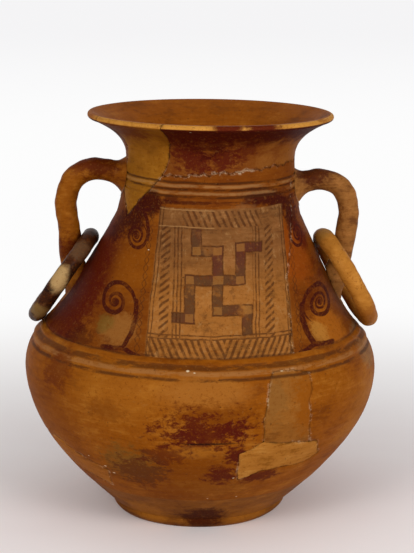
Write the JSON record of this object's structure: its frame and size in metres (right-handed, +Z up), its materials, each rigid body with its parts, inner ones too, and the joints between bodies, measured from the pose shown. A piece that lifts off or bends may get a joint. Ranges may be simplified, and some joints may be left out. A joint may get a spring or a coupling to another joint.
{
  "type": "handled pottery jar with loose rings",
  "caption": "Burnished clay jar with a round belly, sloping shoulder, flared rim, loop handles at the neck and a loose clay ring hung in each handle.",
  "frame": {"origin": "centre of the foot, on the surface that the jar stands on", "axes": "+Z up along the jar's axis, -Y towards the decorated front, +X towards the right handle"},
  "size_m": [0.3094, 0.3082, 0.3512],
  "materials": {
    "burnished_clay": "satin",
    "brown_clay": "satin",
    "ochre_plaster": "matt",
    "yellow_clay": "satin",
    "dark_clay": "satin"
  },
  "bodies": {
    "jar": {"foot_ring": "brown_clay", "belly_wall": "burnished_clay", "belly_sherd_right": "burnished_clay", "belly_sherd_left": "brown_clay", "belly_fill": "ochre_plaster", "shoulder_wall": "burnished_clay", "shoulder_sherd_right": "burnished_clay", "neck_wall": "burnished_clay", "neck_fill": "ochre_plaster", "handle_left": "brown_clay", "handle_right": "yellow_clay"},
    "ring_left": {"ring_left": "dark_clay"},
    "ring_right": {"ring_right": "yellow_clay"}
  },
  "joints": [
    {"name": "ring_left_swing", "type": "hinge", "parent": "jar", "child": "ring_left", "pos_m": [-0.09427, 0, 0.24038], "axis": [0.0428, 0.9986, -0.0302], "range_deg": [0, 110]},
    {"name": "ring_right_swing", "type": "hinge", "parent": "jar", "child": "ring_right", "pos_m": [0.10893, 0, 0.24044], "axis": [0.1145, -0.9914, 0.0627], "range_deg": [0, 110]}
  ]
}
